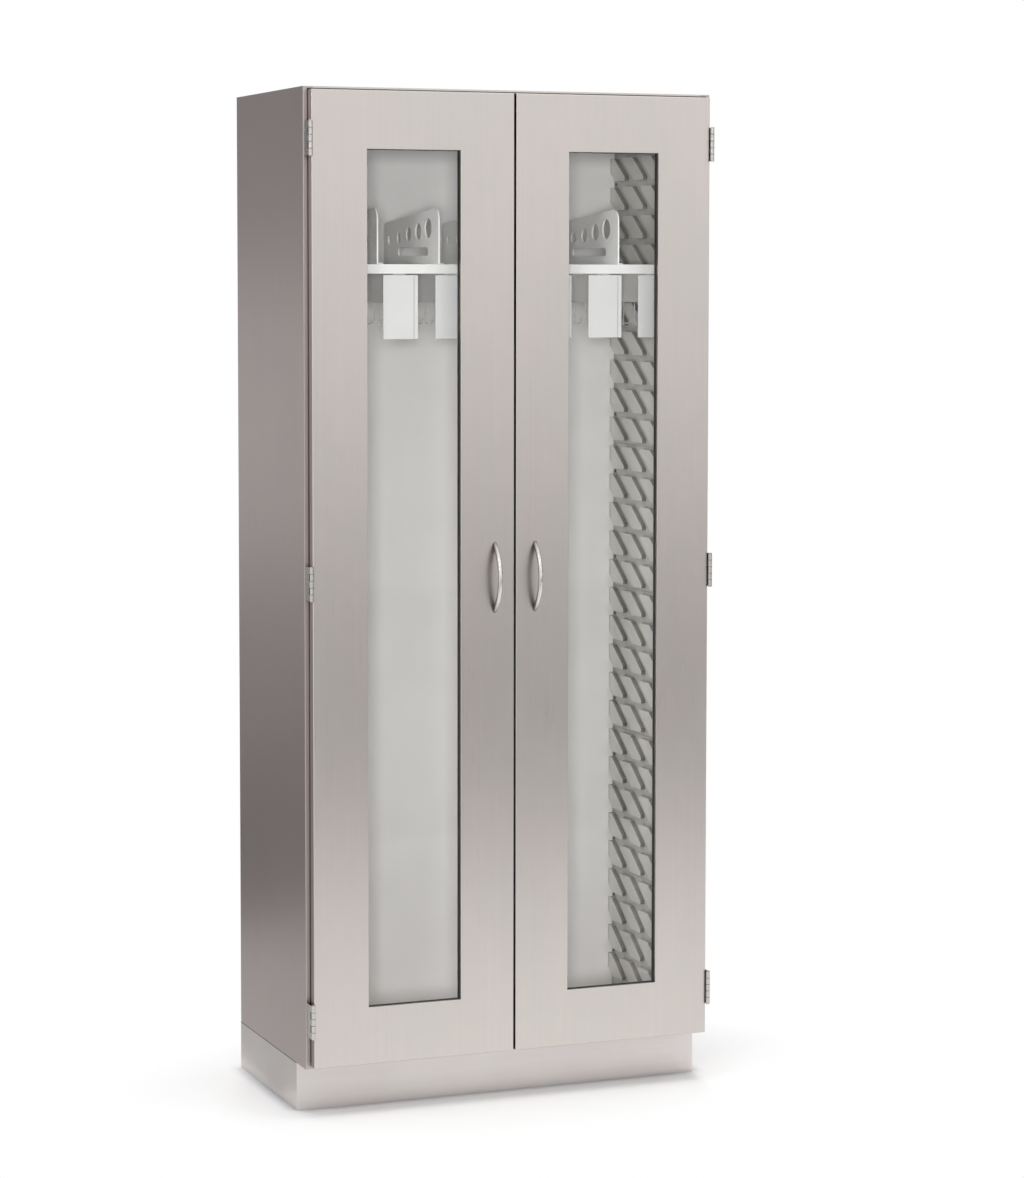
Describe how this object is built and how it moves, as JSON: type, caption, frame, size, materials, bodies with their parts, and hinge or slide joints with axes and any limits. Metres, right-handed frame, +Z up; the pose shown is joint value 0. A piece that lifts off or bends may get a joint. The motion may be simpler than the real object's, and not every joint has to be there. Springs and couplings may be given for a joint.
{
  "type": "catheter cabinet",
  "caption": "Tall stainless steel cabinet with glazed hinged doors, tabbed side liners, a divided shelf and pull-out hook rails for hanging catheters, on a recessed plinth.",
  "frame": {"origin": "middle of the bounding box at the floor, with the doors closed", "axes": "+Z up, +Y from the doors to the back, +X to the right of a person facing the doors"},
  "size_m": [0.9144, 0.5182, 2.1336],
  "materials": {
    "carcass_steel": "satin brushed",
    "door_steel": "satin brushed",
    "handle_steel": "fine satin",
    "hinge_steel": "satin",
    "screw_steel": "plain",
    "clear_glass": "clear",
    "seal_rubber": "matt",
    "liner_plastic": "fine grain",
    "white_paint": "powder coat",
    "divider_plastic": "smooth",
    "label_plastic": "smooth",
    "rail_aluminium": "satin",
    "hook_wire": "bright",
    "catch_plastic": "plain"
  },
  "bodies": {
    "carcass": {"left_side_panel": "carcass_steel", "right_side_panel": "carcass_steel", "top_panel": "carcass_steel", "bottom_panel": "carcass_steel", "back_panel": "carcass_steel", "plinth_front": "carcass_steel", "plinth_rear": "carcass_steel", "plinth_left": "carcass_steel", "plinth_right": "carcass_steel", "liner_left": "liner_plastic", "liner_right": "liner_plastic", "liner_screws": "screw_steel", "shelf": "white_paint", "shelf_divider_1": "divider_plastic", "shelf_divider_2": "divider_plastic", "shelf_divider_3": "divider_plastic", "shelf_divider_4": "divider_plastic", "shelf_divider_5": "divider_plastic", "slide_channels": "rail_aluminium", "hinge_frame_leaves": "hinge_steel", "hinge_pins": "hinge_steel", "door_catch": "catch_plastic"},
    "left_door": {"left_door_skin": "door_steel", "left_door_inner": "door_steel", "left_door_glass": "clear_glass", "left_door_seal": "seal_rubber", "left_door_handle": "handle_steel", "left_handle_screws": "screw_steel", "left_hinge_leaves": "hinge_steel", "left_catch_strike": "screw_steel"},
    "right_door": {"right_door_skin": "door_steel", "right_door_inner": "door_steel", "right_door_glass": "clear_glass", "right_door_seal": "seal_rubber", "right_door_handle": "handle_steel", "right_handle_screws": "screw_steel", "right_hinge_leaves": "hinge_steel", "right_catch_strike": "screw_steel"},
    "hook_slide_1": {"hook_rail_1": "rail_aluminium", "hooks_1": "hook_wire", "label_holder_1": "label_plastic"},
    "hook_slide_2": {"hook_rail_2": "rail_aluminium", "hooks_2": "hook_wire", "label_holder_2": "label_plastic"},
    "hook_slide_3": {"hook_rail_3": "rail_aluminium", "hooks_3": "hook_wire", "label_holder_3": "label_plastic"},
    "hook_slide_4": {"hook_rail_4": "rail_aluminium", "hooks_4": "hook_wire", "label_holder_4": "label_plastic"},
    "hook_slide_5": {"hook_rail_5": "rail_aluminium", "hooks_5": "hook_wire", "label_holder_5": "label_plastic"},
    "hook_slide_6": {"hook_rail_6": "rail_aluminium", "hooks_6": "hook_wire", "label_holder_6": "label_plastic"},
    "hook_slide_7": {"hook_rail_7": "rail_aluminium", "hooks_7": "hook_wire", "label_holder_7": "label_plastic"}
  },
  "joints": [
    {"name": "left_door_hinge", "type": "hinge", "parent": "carcass", "child": "left_door", "pos_m": [-0.4507, -0.2266, 1.1171], "axis": [0, 0, -1], "range_deg": [0, 180]},
    {"name": "right_door_hinge", "type": "hinge", "parent": "carcass", "child": "right_door", "pos_m": [0.4507, -0.2266, 1.1171], "axis": [0, 0, 1], "range_deg": [0, 180]},
    {"name": "hook_slide_1_pull", "type": "slide", "parent": "carcass", "child": "hook_slide_1", "axis": [0, -1, 0], "range_m": [0, 0.036]},
    {"name": "hook_slide_2_pull", "type": "slide", "parent": "carcass", "child": "hook_slide_2", "axis": [0, -1, 0], "range_m": [0, 0.036]},
    {"name": "hook_slide_3_pull", "type": "slide", "parent": "carcass", "child": "hook_slide_3", "axis": [0, -1, 0], "range_m": [0, 0.036]},
    {"name": "hook_slide_4_pull", "type": "slide", "parent": "carcass", "child": "hook_slide_4", "axis": [0, -1, 0], "range_m": [0, 0.036]},
    {"name": "hook_slide_5_pull", "type": "slide", "parent": "carcass", "child": "hook_slide_5", "axis": [0, -1, 0], "range_m": [0, 0.036]},
    {"name": "hook_slide_6_pull", "type": "slide", "parent": "carcass", "child": "hook_slide_6", "axis": [0, -1, 0], "range_m": [0, 0.036]},
    {"name": "hook_slide_7_pull", "type": "slide", "parent": "carcass", "child": "hook_slide_7", "axis": [0, -1, 0], "range_m": [0, 0.036]}
  ]
}
